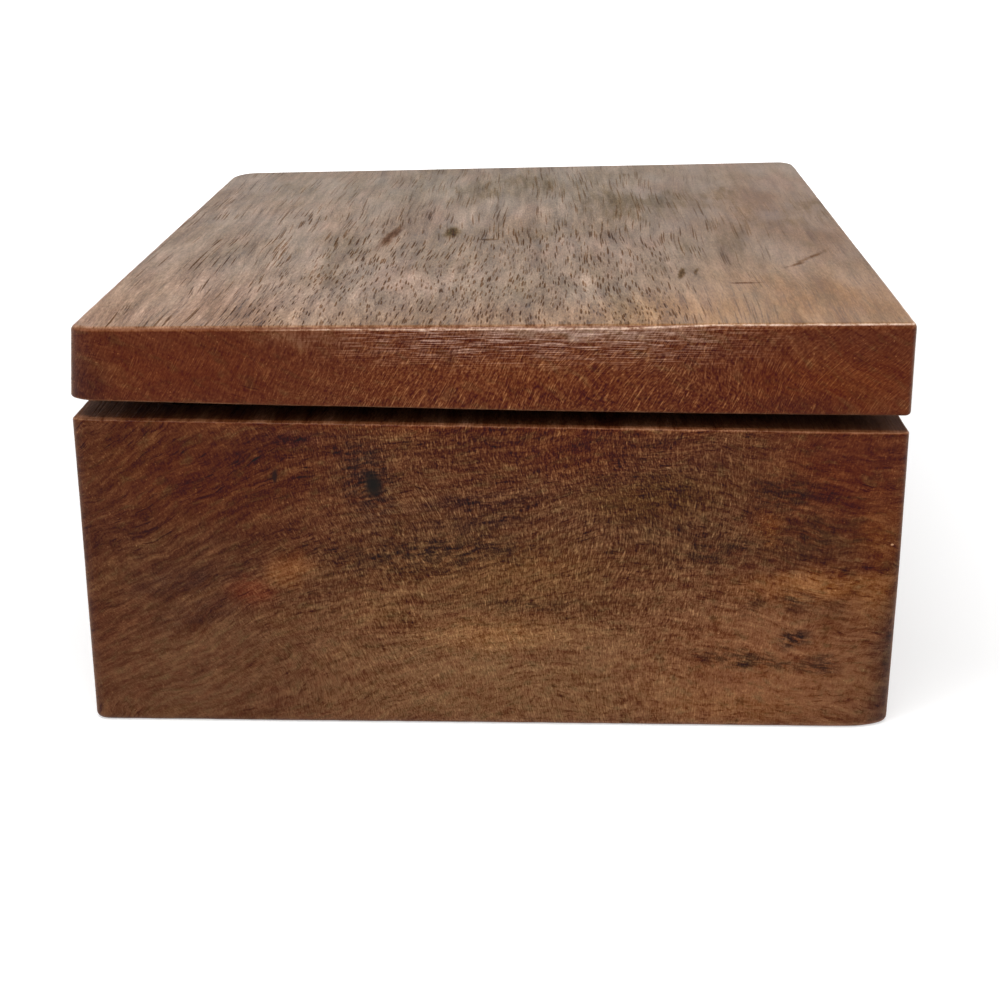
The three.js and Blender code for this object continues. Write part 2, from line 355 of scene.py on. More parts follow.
def waviness(at, waves, shifted, seed):
    """Noise at a place in millimetres, with its waves shifted along one axis by the seed."""
    spot = [part / wave for part, wave in zip(at, waves)]
    spot[shifted] += seed
    return noise.noise(Vector(spot))


def ripple(mesh, depth, seed, held=None):
    """Moves each vertex a little along its normal, as hand planing and sanding leave a surface. Where
    held is given, it says how much of the ripple a place keeps."""
    mesh.normal_update()
    layer = mesh.verts.layers.float["arris"]
    moves = []
    for vertex in mesh.verts:
        at = vertex.co / MM
        height = 0.0
        for waves, axis, force in (BROAD_WAVES, FINE_WAVES):
            height += force * waviness(at, waves, axis, seed)
        if vertex[layer] > 0.5:
            waves, axis, force = ARRIS_WEAR
            height -= force * abs(waviness(at, waves, axis, seed))
        keep = held(vertex.co) if held else 1.0
        moves.append(vertex.normal * (height * depth * keep))
    for vertex, move in zip(mesh.verts, moves):
        vertex.co += move


def finished(mesh, name, body, nodes, material):
    """Makes the mesh an object that rides on a body and stands for nodes of the frame. Weighted normals
    keep its flat faces flat in the light beside their rounded edges."""
    for face in mesh.faces:
        face.smooth = True
    piece = in_scene(name, as_mesh(mesh, name, material))
    piece.modifiers.new("Weighted normals", "WEIGHTED_NORMAL")
    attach(piece, body)
    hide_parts(*nodes)


def as_mesh(mesh, name, material):
    """Turns a bmesh into a mesh of one material, and frees it."""
    data = bpy.data.meshes.new(name)
    mesh.to_mesh(data)
    mesh.free()
    data.materials.append(material)
    return data


def in_scene(name, data):
    """An object of the scene that shows the data."""
    item = bpy.data.objects.new(name, data)
    bpy.context.scene.collection.objects.link(item)
    return item


# Nodes


class Pattern(NamedTuple):
    """Noise with a smooth step cut from it: the size of its features in millimetres, its detail and
    roughness, the noise at which the step starts and at which it is full, and what it gives there."""

    feature: tuple
    detail: float
    roughness: float
    start: float
    full: float
    low: float = 0.0
    high: float = 1.0


class Tree:
    """Adds nodes to the tree of a material or a world. An input may be a number, a vector, a colour or
    another node's output."""

    def __init__(self, owner):
        owner.use_nodes = True
        self.tree = owner.node_tree
        self.tree.nodes.clear()

    def add(self, kind, inputs=None, **settings):
        node = self.tree.nodes.new(kind)
        for name, value in settings.items():
            setattr(node, name, value)
        for name, value in (inputs or {}).items():
            self.put(value, node.inputs[name])
        return node

    def put(self, value, socket):
        if isinstance(value, bpy.types.NodeSocket):
            self.tree.links.new(value, socket)
        else:
            socket.default_value = value

    def end(self, shader, output="ShaderNodeOutputMaterial"):
        """Shows the shader on the surface."""
        self.put(shader.outputs[0], self.add(output).inputs["Surface"])

    def maths(self, operation, first, second=0.0, clamp=False):
        inputs = {0: first, 1: second}
        return self.add("ShaderNodeMath", inputs, operation=operation, use_clamp=clamp).outputs[0]

    def plus(self, first, second, clamp=False):
        return self.maths("ADD", first, second, clamp)

    def minus(self, first, second):
        return self.maths("SUBTRACT", first, second)

    def times(self, product, *factors, clamp=False):
        for factor in factors:
            product = self.maths("MULTIPLY", product, factor, clamp)
        return product

    def size(self, value):
        return self.maths("ABSOLUTE", value)

    def vector(self, operation, first, second=(0.0, 0.0, 0.0), result="Vector"):
        inputs = {0: first, 1: second}
        return self.add("ShaderNodeVectorMath", inputs, operation=operation).outputs[result]

    def scaled(self, vector, factor):
        inputs = {0: vector, "Scale": factor}
        return self.add("ShaderNodeVectorMath", inputs, operation="SCALE").outputs["Vector"]

    def distance(self, vector):
        return self.vector("LENGTH", vector, result="Value")

    def joined(self, x, y, z):
        return self.add("ShaderNodeCombineXYZ", {0: x, 1: y, 2: z}).outputs[0]

    def parts(self, vector):
        return self.add("ShaderNodeSeparateXYZ", {0: vector}).outputs

    def coordinates(self, kind):
        return self.add("ShaderNodeTexCoord").outputs[kind]

    def noise(self, vector, feature, detail=2.0, roughness=0.5, result=0):
        """Noise whose features have the given sizes along the vector's three axes."""
        inputs = {
            "Vector": self.vector("DIVIDE", vector, feature),
            "Scale": 1.0,
            "Detail": detail,
            "Roughness": roughness,
        }
        return self.add("ShaderNodeTexNoise", inputs).outputs[result]

    def wander(self, vector, feature, detail, reach):
        """A vector that wanders up to about half a reach either way."""
        drift = self.noise(vector, feature, detail, result=1)
        return self.scaled(self.vector("SUBTRACT", drift, (0.5, 0.5, 0.5)), reach)

    def ramp(self, value, start, end, low=0.0, high=1.0):
        """A smooth step of the value from start to end, given as low to high."""
        inputs = {"Value": value, "From Min": start, "From Max": end, "To Min": low, "To Max": high}
        return self.add("ShaderNodeMapRange", inputs, interpolation_type="SMOOTHSTEP").outputs[0]

    def pattern(self, vector, pattern):
        """What the pattern gives at a place."""
        grain = self.noise(vector, pattern.feature, pattern.detail, pattern.roughness)
        return self.ramp(grain, pattern.start, pattern.full, pattern.low, pattern.high)

    def beside(self, value, middle, far, near, low=0.0):
        """1 near the middle of an axis and less from there out."""
        return self.ramp(self.size(self.minus(value, middle)), far, near, low, 1.0)

    def mix(self, factor, first, second):
        """Two colours mixed by a factor."""
        node = self.add("ShaderNodeMix", data_type="RGBA", blend_type="MIX", clamp_factor=True)
        self.put(factor, node.inputs["Factor"])
        colours = [socket for socket in node.inputs if socket.type == "RGBA"]
        for value, socket in zip((first, second), colours):
            self.put((*value, 1.0) if isinstance(value, tuple) else value, socket)
        return next(socket for socket in node.outputs if socket.type == "RGBA")

    def blend(self, factor, first, second):
        """Two numbers mixed by a factor."""
        return self.add("ShaderNodeMix", {0: factor, 2: first, 3: second}, data_type="FLOAT").outputs[0]

    def bump(self, height, strength, millimetres):
        inputs = {"Strength": strength, "Distance": millimetres * MM, "Height": height}
        return self.add("ShaderNodeBump", inputs).outputs[0]

    def shown(self, path):
        """1 for the rays that show the white background: from the camera, reflected or passed on."""
        seen_or_mirrored = self.maths("MAXIMUM", path["Is Camera Ray"], path["Is Glossy Ray"])
        return self.maths("MAXIMUM", seen_or_mirrored, path["Is Transmission Ray"])


def millimetres(tree):
    """Object coordinates in millimetres."""
    return tree.scaled(tree.coordinates("Object"), 1 / MM)


def mark(tree, place, centre, half, turn, soft, across):
    """A soft-edged oval, 1 inside and 0 outside, turned by an angle in degrees: upwards to the right on the
    front, and to the left from above on the lid's top."""
    angle = math.radians(turn)
    inputs = {
        "Vector": place,
        "Location": centre,
        "Rotation": (0.0, -angle, 0.0) if across == "FRONT" else (0.0, 0.0, angle),
        "Scale": half,
    }
    local = tree.add("ShaderNodeMapping", inputs, vector_type="TEXTURE").outputs[0]
    return tree.ramp(tree.distance(local), 1.0, 1.0 - soft)


# Wood

# Power that turns a colour as the eye sees it into light
EYE = 2.2

# Where the piths of the two blocks lie, across and up from the middle of the box's base
BODY_PITH = (30.0, -150.0)
LID_PITH = (-150.0, -200.0)

# Colour zones and marks on the front or the top of each piece: name, place across and up or deep, half
# width, half height or depth, turn, softness, colour and strength
BODY_ZONES = (
    ("upper left red", (-54, 50), 46, 26, 0, 1.0, (0.083, 0.015, 0.002), 0.95),
    ("upper red", (4, 62), 64, 22, 0, 1.0, (0.066, 0.012, 0.002), 0.95),
    ("upper middle red", (13, 55), 18, 8, 0, 1.0, (0.110, 0.020, 0.003), 0.5),
    ("upper right red", (66, 52), 28, 25, 0, 1.0, (0.095, 0.015, 0.002), 0.95),
    ("left edge", (-76, 28), 16, 40, 0, 1.0, (0.078, 0.019, 0.005), 0.8),
    ("left middle", (-56, 32), 30, 16, 0, 1.0, (0.070, 0.020, 0.006), 0.8),
    ("low left", (-50, 8), 36, 20, 0, 1.0, (0.114, 0.044, 0.018), 0.7),
    ("middle", (4, 31), 44, 13, 0, 1.0, (0.162, 0.069, 0.022), 0.7),
    ("low middle", (3, 10), 56, 22, 0, 1.0, (0.208, 0.098, 0.042), 0.9),
    ("low right", (52, 12), 40, 30, 0, 1.0, (0.245, 0.096, 0.040), 0.9),
    ("low edge", (0, 0), 90, 4, 0, 1.0, (0.150, 0.056, 0.026), 0.5),
    ("band under the rim", (0, 60.5), 90, 3.4, 0, 1.0, (0.105, 0.017, 0.002), 0.8),
    # Painted shade: the worn corner curves away from the light and is darkened for it
    ("worn corner", (77, 14), 7, 36, 0, 0.9, (0.036, 0.011, 0.005), 0.85),
    ("green zone", (30, 46), 18, 7, 6, 0.9, (0.056, 0.017, 0.002), 0.75),
    ("gold patch", (-37, 31.5), 7.0, 4.6, 20, 0.8, (0.230, 0.083, 0.026), 0.8),
    ("red patch", (-44.4, 27), 6.5, 4.8, 0, 0.8, (0.160, 0.036, 0.012), 0.75),
    ("golden zone", (2, 19), 24, 6, 0, 1.0, (0.290, 0.128, 0.046), 0.7),
    ("left of the golden zone", (-20, 23), 13, 6, 0, 1.0, (0.190, 0.086, 0.030), 0.5),
    ("right of the golden zone", (34, 8), 12, 10, 0, 1.0, (0.260, 0.118, 0.048), 0.5),
    ("light right edge", (71, 25), 8, 9, 0, 1.0, (0.240, 0.095, 0.032), 0.6),
    ("upper golden zone", (10, 33.5), 16, 3.2, 3, 1.0, (0.230, 0.100, 0.032), 0.35),
    ("light blob", (51.5, 40.5), 3.5, 7, 20, 0.9, (0.200, 0.064, 0.014), 0.7),
    ("warm zone", (72, 38), 7, 13, 0, 1.0, (0.180, 0.050, 0.010), 0.75),
    ("light zone", (62, 29), 24, 5.0, 0, 0.9, (0.300, 0.118, 0.038), 0.85),
    ("low light zone", (46, 4.5), 18, 5, 0, 0.9, (0.240, 0.096, 0.036), 0.7),
)
BODY_MARKS = (
    ("streak under the rim", (-35, 57), 9, 2.2, 0, 1.0, (0.036, 0.003, 0.002), 0.9),
    ("left band", (-57, 29), 16, 4.2, 12, 1.0, (0.036, 0.009, 0.005), 0.55),
    ("lower left band", (-54, 22.5), 15, 4.0, 14, 1.0, (0.046, 0.014, 0.008), 0.45),
    ("knot halo", (-22, 49), 7.5, 13, 12, 1.0, (0.018, 0.004, 0.002), 0.95),
    ("dark streak", (-3, 45), 18, 2.8, 5, 1.0, (0.024, 0.003, 0.001), 1.0),
    ("second dark streak", (-3.4, 41), 20, 2.6, 4, 1.0, (0.028, 0.005, 0.001), 1.0),
    ("dark zone", (-11, 35), 28, 6.0, 3, 1.0, (0.024, 0.006, 0.001), 1.0),
    ("dark zone at the right", (33, 40), 16, 4.5, 6, 1.0, (0.034, 0.010, 0.002), 0.6),
    ("short dark streak", (6, 25), 16, 2.0, 2, 1.0, (0.042, 0.015, 0.003), 0.75),
    ("low dark streak", (2, 21), 14, 1.4, -2, 1.0, (0.060, 0.022, 0.005), 0.35),
    ("dark patch", (54, 47), 11, 6.0, 0, 1.0, (0.034, 0.010, 0.002), 0.85),
    ("right patch", (60, 38.5), 12, 7, 20, 1.0, (0.036, 0.011, 0.002), 0.75),
    ("right line", (42, 36), 18, 4, 8, 1.0, (0.034, 0.010, 0.002), 0.85),
    ("mottle 1", (49, 25.3), 4.2, 2.6, 0, 1.0, (0.045, 0.016, 0.004), 0.7),
    ("mottle 2", (56.5, 26), 5, 3.2, -25, 1.0, (0.040, 0.014, 0.004), 0.8),
    ("mottle 3", (62.5, 25), 5.4, 3.2, 0, 1.0, (0.050, 0.017, 0.004), 0.45),
    ("mottle 4", (69, 27.3), 3.6, 2.2, 0, 1.0, (0.050, 0.015, 0.003), 0.25),
    ("darkest mottle", (57.5, 18.6), 5.4, 2.8, 18, 1.0, (0.016, 0.005, 0.002), 1.0),
    ("mottle 5", (62.5, 13), 5.8, 3.2, -10, 1.0, (0.032, 0.009, 0.003), 0.95),
    ("dark line", (49, 14), 18, 2.6, -5, 1.0, (0.040, 0.015, 0.004), 0.9),
)
BODY_SPOTS = (
    ("knot", (-21.2, 48.6), 1.9, 3.6, 8, 0.9, (0.004, 0.002, 0.001), 1.0),
    ("nick", (-39.1, 49.7), 0.7, 1.7, -12, 0.7, (0.012, 0.002, 0.001), 0.9),
    ("pale fleck", (32.8, 52.2), 0.8, 0.2, -10, 0.5, (0.50, 0.27, 0.14), 0.7),
    ("bright dot", (74, 37.4), 0.3, 0.3, 0, 0.5, (0.75, 0.45, 0.26), 0.8),
)
LID_FRONT_ZONES = (
    # Painted reflections: the grey sheen and the left sheen stand in for light caught by the rounded top edge
    ("grey sheen", (16, 77.2), 32, 2.4, -1, 0.9, (0.320, 0.205, 0.155), 0.85),
    ("left sheen", (-34, 76), 14, 2.2, 0, 0.9, (0.240, 0.108, 0.060), 0.65),
    ("left", (-54, 70), 28, 9, 0, 1.0, (0.114, 0.020, 0.003), 0.8),
    # Painted shade: the left end is darker where its rounding turns away from the light
    ("left end", (-75, 67), 10, 12, 0, 1.0, (0.050, 0.008, 0.002), 0.8),
    ("middle", (4, 69), 44, 7, 0, 1.0, (0.155, 0.038, 0.009), 0.9),
    ("dark middle", (21, 70), 12, 6, 0, 1.0, (0.110, 0.020, 0.003), 0.4),
    ("right", (62, 68), 24, 9, 0, 1.0, (0.150, 0.030, 0.004), 0.8),
    ("dark foot", (30, 64.0), 50, 3.0, -2, 1.0, (0.085, 0.012, 0.001), 0.4),
    ("foot of the right end", (56, 64.0), 14, 3.0, 0, 1.0, (0.060, 0.008, 0.001), 0.5),
)
# The zones of the lid's top hold painted sheen as well as the wood's own colour: greyer towards the back
LID_TOP_ZONES = (
    ("front left", (-62, -75), 50, 50, 0, 1.0, (0.305, 0.166, 0.096), 0.9),
    ("front right", (62, -72), 46, 50, 0, 1.0, (0.262, 0.110, 0.027), 0.9),
    ("front", (0, -88), 90, 26, 0, 1.0, (0.280, 0.140, 0.058), 0.6),
    ("front left corner", (-74, -86), 12, 10, 0, 1.0, (0.240, 0.125, 0.070), 0.5),
    ("pale front edge", (-44, -87), 13, 9, 0, 1.0, (0.380, 0.215, 0.130), 0.5),
    ("warm front", (34, -80), 28, 24, 0, 1.0, (0.262, 0.112, 0.024), 0.65),
    ("middle", (5, -10), 50, 40, 0, 1.0, (0.132, 0.072, 0.030), 0.7),
    ("back", (0, 60), 80, 46, 0, 1.0, (0.126, 0.086, 0.045), 0.85),
    ("right", (62, 20), 34, 90, 0, 1.0, (0.132, 0.058, 0.019), 0.9),
    ("right edge", (69, -15), 14, 44, 0, 1.0, (0.200, 0.080, 0.024), 0.55),
    ("upper right edge", (64, 34), 12, 28, 0, 1.0, (0.185, 0.075, 0.022), 0.5),
    ("grey patch", (30, 32), 24, 36, 0, 1.0, (0.096, 0.064, 0.031), 0.75),
)
LID_TOP_MARKS = (
    ("spot", (-11.2, -2.0), 2.6, 9.5, -3, 1.0, (0.050, 0.034, 0.010), 0.95),
    ("dark band", (-24.5, -6), 2.2, 20, -6, 1.0, (0.046, 0.012, 0.004), 0.95),
    ("scratch", (-2.6, -11.2), 3.6, 1.7, 0, 0.8, (0.070, 0.030, 0.008), 0.6),
    ("streak", (37.0, -47.5), 1.2, 8, -8, 1.0, (0.040, 0.018, 0.004), 1.0),
    ("second streak", (40.1, -46), 0.8, 8, -10, 1.0, (0.055, 0.022, 0.005), 0.65),
    ("thin line", (48.9, -56.2), 4.3, 0.9, 0, 0.5, (0.075, 0.020, 0.006), 0.8),
    ("curved line", (64.6, -33), 1.3, 13, -30, 1.0, (0.080, 0.026, 0.006), 0.9),
    ("end of the curved line", (60.4, -40.6), 1.2, 6, -44, 1.0, (0.085, 0.028, 0.007), 0.9),
)

# Layers of tone. Each has the size of its features in millimetres, its detail and its strength. Sizes in
# the end grain are along the rings, along the grain and across the rings. In the long grain they are
# across the board, along the grain and down into the board.
FIBRES = (
    ("fibres", (0.24, 3.0, 1.6), 1.0, 0.32),
    ("fine fibres", (0.20, 3.0, 0.5), 0.0, 0.28),
)
RINGS = (
    ("grit", (0.36, 0.9, 0.28), 1.0, 0.20),
    ("mottles", (2.2, 6.0, 0.9), 3.0, 0.24),
    ("fine rings", (5.5, 40.0, 0.8), 3.0, 0.28),
    ("rings", (24.0, 90.0, 3.2), 2.0, 0.24),
)
LONG_GRAIN = (
    ("fibres", (0.28, 2.0, 0.28), 1.0, 0.34),
    ("figure", (1.3, 16.0, 1.3), 3.0, 0.28),
    ("flames", (2.0, 24.0, 2.0), 1.0, 0.24),
    ("streaks", (3.2, 34.0, 3.2), 2.0, 0.30),
    ("bands", (9.0, 60.0, 6.0), 2.0, 0.20),
)

# Below, a smooth step is given by where it starts and ends, in millimetres where that is a place, and then
# by what it gives there

# Detail of the noise in patches of colour, and the roughness of that noise and of the tones
PATCH_DETAIL = 3.0
LAYER_ROUGHNESS = 0.6

# Height above the base, in millimetres, at which distances along the rings are true
TRUE_HEIGHT = 30.0

# How deep in millimetres the marks of the front and of the lid's top reach to either side of the surface,
# and how far below the lid's highest point the top's marks lie
FRONT_REACH = 30.0
TOP_REACH = 6.0
TOP_DROP = 1.5

# How much of a face's normal lies along the grain, from long grain to end grain, how much points up on the
# lid's top,
#  which gets painted sheen, and how much points up or down beside the gap, which gets painted shade
SQUARE_CUT = (0.45, 0.85)
FACING_UP = (0.30, 0.85)
GAP_SHADE_LEVEL = (0.80, 0.97)

# Wandering of the space that patterns lie in: the size of its waves in millimetres, their detail and reach
OUTLINE_DRIFT = ((4.0, 4.0, 4.0), 3.0, 5.0)
TOP_OUTLINE_DRIFT = ((5.0, 5.0, 5.0), 3.0, 2.0)
FIBRE_BEND = ((32.0, 80.0, 26.0), 1.0, 10.0)
RING_WAVE = ((6.0, 24.0, 4.0), 2.0, 2.0)
PORE_SWAY = ((18.0, 50.0, 18.0), 1.0, 4.5)
SWAY_AXES = (1.0, 0.0, 0.35)

# Patches of colour: their size in millimetres, the finish's colour where their noise is low and where it
# is high, and their strength
END_PATCHES = (
    ((16.0, 60.0, 4.0), "red", "tan", 0.28),
    ((3.0, 9.0, 1.3), "red", "olive", 0.40),
)
LONG_PATCHES = (
    ((14.0, 40.0, 10.0), "pink", "olive", 0.35),
    ((1.8, 14.0, 1.8), "pink", "olive", 0.25),
)
LOW_NOISE = (0.50, 0.28)
HIGH_NOISE = (0.50, 0.72)

# What breaks up the marks on the front and on the top
BROKEN_RINGS = Pattern((3.0, 9.0, 0.8), 3.0, 0.65, 0.36, 0.60)
SWIRLS = Pattern((1.6, 9.0, 1.6), 3.0, 0.65, 0.34, 0.58, 0.65, 1.0)

# Tone of the end grain: its dashes and specks, and how it changes with the height and across the width
DASHES = Pattern((3.2, 30.0, 0.45), 3.0, 0.6, 0.52, 0.72, 0.0, -0.18)
DASHED_ZONES = Pattern((22.0, 80.0, 9.0), 2.0, 0.5, 0.42, 0.60)
SPECKS = Pattern((0.45, 0.45, 0.45), 1.0, 0.5, 0.68, 0.80, 0.0, 0.14)
FLECKS_BELOW_TOP = (78.0, 71.0, 0.35, 1.0)
FLECKS_ABOVE_FOOT = (0.0, 34.0, 0.6, 1.0)
SINK_UPWARDS = (12.0, 48.0, 0.3, 1.0)
BLOTCHES_DOWNWARDS = (44.0, 30.0, 0.3, 1.0)
BLOTCHES_RIGHTWARDS = (22.0, 52.0)
TONE_ABOVE_FOOT = (2.0, 32.0, 0.75, 1.0)

# Where the pores of the top dive: from here towards the front over this length, most in the middle of the
# width, by this depth in millimetres
DIVE_START = 40.0
DIVE_LENGTH = 130
DIVE_MIDDLE = (10.0, 54.0, 30.0)
DIVE_DEPTH = 7.0

# The pores: the cells that hold one each in millimetres, their width and fullness, which differ from cell
# to cell, how sharp their edges are, and how they thin out across the board and towards the back
PORE_CELLS = (0.48, 24.0, 0.48)
PORE_WIDTHS = (0.0, 1.0, 0.33, 0.52)
WIDER_AT_LEFT = (-10.0, -40.0, 0.0, 0.02)
PORE_FULLNESS = (0.1, 0.6, 0.6, 1.0)
PORE_EDGE = 6.0
SPARSE = Pattern((6.0, 30.0, 6.0), 2.0, 0.5, 0.36, 0.56, 0.2, 1.0)
DENSE_DIVE = 2.2
FULLER_FORWARDS = (85.0, -30.0, 0.45, 1.0)
FULLER_LEFTWARDS = (75.0, 40.0, 0.3, 1.0)
PORE_DARKNESS = (-56.0, -16.0, 0.78, 0.74)
LIVELIER_FORWARDS = (85.0, -85.0, 0.9, 1.2)
CALMER_AT_RIGHT = (30.0, 66.0, 1.0, 0.62)
CALMER_IN_GAP_SHADE = 0.4

# Rubbed edges, lighter as wear and as a painted highlight; the pale line along the lid's front edge, a
# painted highlight;
#  and the sanding scratches below it, pale as painted glints
RUBBED_AND_HIGHLIT_PATCHES = Pattern((6.0, 6.0, 6.0), 3.0, 0.5, 0.30, 0.55, 0.4, 1.0)
RUBBED_AND_HIGHLIT_ACROSS = (-60.0, 60.0)
LINE_LEAN = (20.0, 42.0, 0.34, 0.78)
LINE_WIDTH = (0.20, 0.06)
LINE_START = (-52.0, -18.0, 0.0, 1.0)
LINE_FRONT = (-60.0, -84.0)
HIGHLIGHT_BREAKS = Pattern((1.2, 3.0, 0.4), 3.0, 0.7, 0.35, 0.60, 0.35, 1.0)
SCRATCHES = Pattern((7.0, 30.0, 0.15), 2.0, 0.65, 0.50, 0.62)
SCRATCHES_UPWARDS = (68.0, 76.0)
SCRATCHES_MIDDLE = (10.0, 52.0, 16.0)
SCRATCHES_FRONT = (-60.0, -80.0)
SCRATCH_GLINT_STRENGTH = 0.85
SCRATCH_DEPTH = 0.3

# Light tone is a little less green and much less blue, in the end grain more so than in the long grain
GREEN_IN_LIGHT = 0.90
BLUE_IN_LIGHT = (0.0, 1.0, 0.88, 0.66)
DARKEST = (0.05, 0.03, 0.02)

# Gloss: its patches, how far it varies, how much duller dark long grain is, the strength and depth of the
# surface's relief in millimetres, and the dusty sheen
GLOSS_PATCHES = Pattern((9.0, 24.0, 9.0), 3.0, 0.5, 0.3, 0.7)
GLOSS_SPREAD = 0.05
DULL_WHERE_DARK = (0.44, 0.28, 0.0, 0.6)
RELIEF = (0.5, 0.15)
HAZE_ROUGHNESS = 0.35
HAZE_TINT = (1.0, 0.78, 0.58, 1.0)

# Brass: tarnished patches, how much duller they are, fine scratches, and their strength and depth
TARNISH = Pattern((11.0, 11.0, 11.0), 3.0, 0.5, 0.35, 0.75)
TARNISH_DULLNESS = 0.12
BRASS_SCRATCHES = ((6.0, 0.15, 0.15), 2.0, 0.6)
BRASS_RELIEF = (0.12, 0.02)


def seen(light):
    """A colour of plain light as the eye sees it."""
    return tuple(channel ** (1 / EYE) for channel in light)


def layered(tree, place, layers):
    """The sum of the layers of tone."""
    tone = 0.0
    for _, feature, detail, force in layers:
        layer = tree.minus(tree.noise(place, feature, detail, LAYER_ROUGHNESS), 0.5)
        tone = tree.plus(tone, tree.times(layer, force))
    return tone


def log_place(tree, place, pith):
    """The log's own space: along the rings, along the grain and across the rings."""
    x, y, z = tree.parts(place)
    beside_pith, above_pith = tree.minus(x, pith[0]), tree.minus(z, pith[1])
    ring = tree.distance(tree.joined(beside_pith, 0.0, above_pith))
    angle = tree.maths("ARCTAN2", beside_pith, above_pith)
    return tree.joined(tree.times(angle, TRUE_HEIGHT - pith[1]), y, ring)


def tinted(tree, colours, outline, marks, plane, broken=1.0):
    """The colours with each mark's own colour laid over them, whole or broken up."""
    for _, (x, other), half_x, half_other, turn, soft, tint, force in marks:
        if plane == "FRONT":
            centre, half = (x, BODY_LOW.y / MM, other), (half_x, FRONT_REACH, half_other)
        else:
            centre, half = (x, other, LID_HIGH.z / MM - TOP_DROP), (half_x, half_other, TOP_REACH)
        strength = tree.times(mark(tree, outline, centre, half, turn, soft, plane), force, broken)
        colours = tree.mix(strength, colours, seen(tint))
    return colours


